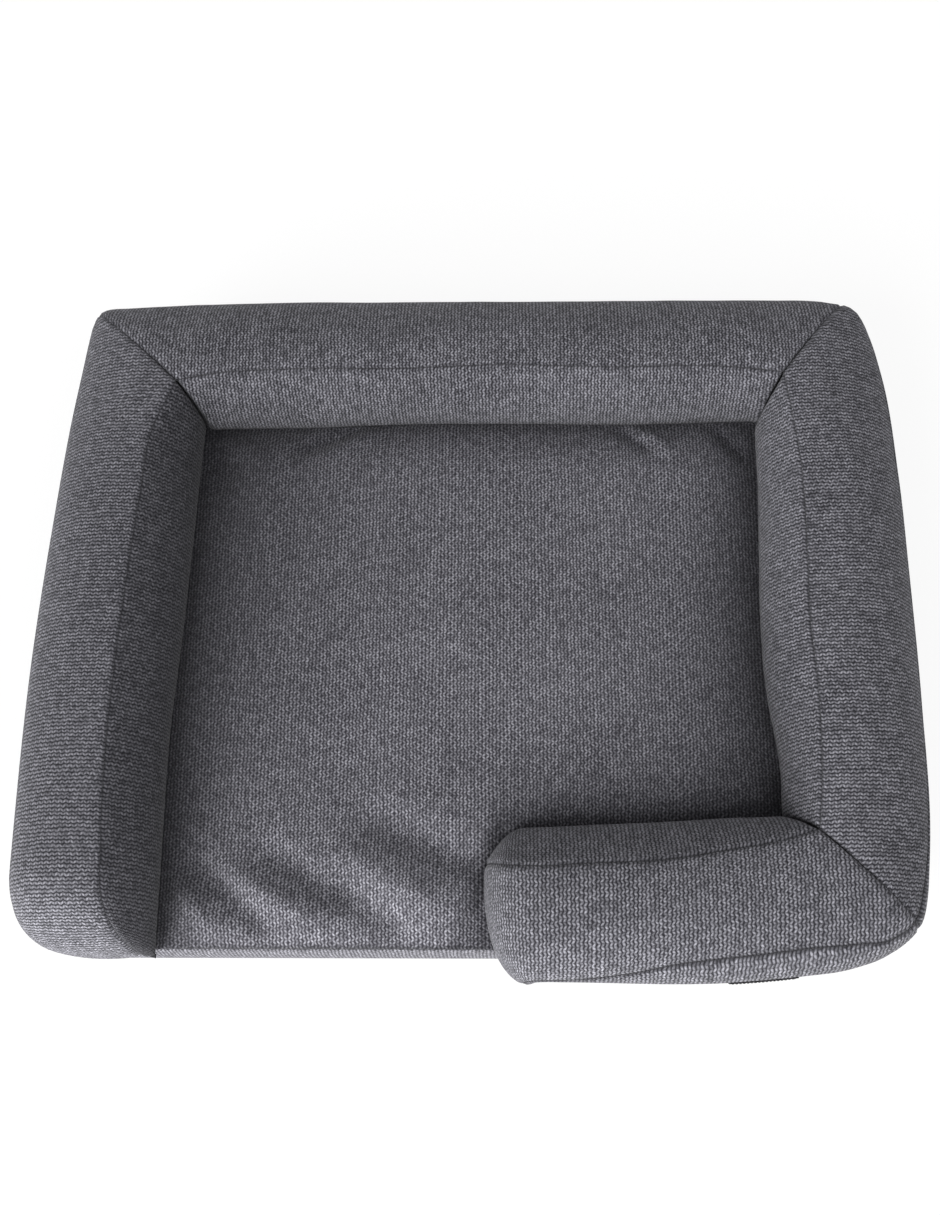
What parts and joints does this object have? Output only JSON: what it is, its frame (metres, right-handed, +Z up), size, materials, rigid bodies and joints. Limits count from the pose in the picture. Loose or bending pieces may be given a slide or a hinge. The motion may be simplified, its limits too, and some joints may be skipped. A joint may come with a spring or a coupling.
{
  "type": "dog bed",
  "caption": "Rectangular dog bed with a foam mattress, stuffed bolsters on the left, back and right, a half-length bolster at the front beside the walk-in entry, and a zip at the back.",
  "frame": {"origin": "on the floor, under the middle of the bed's outline", "axes": "+X across the bed to the right of someone who faces it from the entry side, +Y to the back, +Z up"},
  "size_m": [0.914, 0.74, 0.1691],
  "materials": {
    "bolster_fabric": "matte",
    "band_fabric": "matte",
    "deck_fabric": "matte",
    "sleep_fabric": "matte",
    "base_fabric": "matte",
    "patch_fabric": "matte",
    "fibre_fill": "matte",
    "foam": "matte",
    "liner_fabric": "matte",
    "wadding": "matte",
    "zip_tape": "matte",
    "zip_teeth": "satin",
    "zip_stops": "satin",
    "zip_metal": "satin"
  },
  "bodies": {
    "bed": {"back_band": "band_fabric", "back_fibre_fill": "fibre_fill", "back_inner_panel": "bolster_fabric", "back_outer_panel": "bolster_fabric", "back_top_panel": "bolster_fabric", "base_panel": "base_fabric", "deck_panel": "deck_fabric", "front_band": "band_fabric", "front_fibre_fill": "fibre_fill", "front_inner_panel": "bolster_fabric", "front_outer_panel": "bolster_fabric", "front_top_panel": "bolster_fabric", "left_band": "band_fabric", "left_fibre_fill": "fibre_fill", "left_inner_panel": "bolster_fabric", "left_outer_panel": "bolster_fabric", "left_top_panel": "bolster_fabric", "mattress_foam": "foam", "mattress_liner": "liner_fabric", "right_band": "band_fabric", "right_fibre_fill": "fibre_fill", "right_inner_panel": "bolster_fabric", "right_outer_panel": "bolster_fabric", "right_top_panel": "bolster_fabric", "sewn_patch": "patch_fabric", "sleep_panel": "sleep_fabric", "top_wadding": "wadding", "zip_stop_left": "zip_stops", "zip_stop_right": "zip_stops", "zip_tape_lower": "zip_tape", "zip_tape_upper": "zip_tape", "zip_teeth_lower": "zip_teeth", "zip_teeth_upper": "zip_teeth"},
    "zip_slider": {"zip_slider": "zip_metal"},
    "zip_pull": {"zip_pull": "zip_metal"}
  },
  "joints": [
    {"name": "slider_travel", "type": "slide", "parent": "bed", "child": "zip_slider", "axis": [-1, 0, 0], "range_m": [0, 0.537]},
    {"name": "pull_swing", "type": "hinge", "parent": "zip_slider", "child": "zip_pull", "pos_m": [0.2686, 0.34299, 0.038], "axis": [0, 0, -1], "range_deg": [0, 180]}
  ]
}
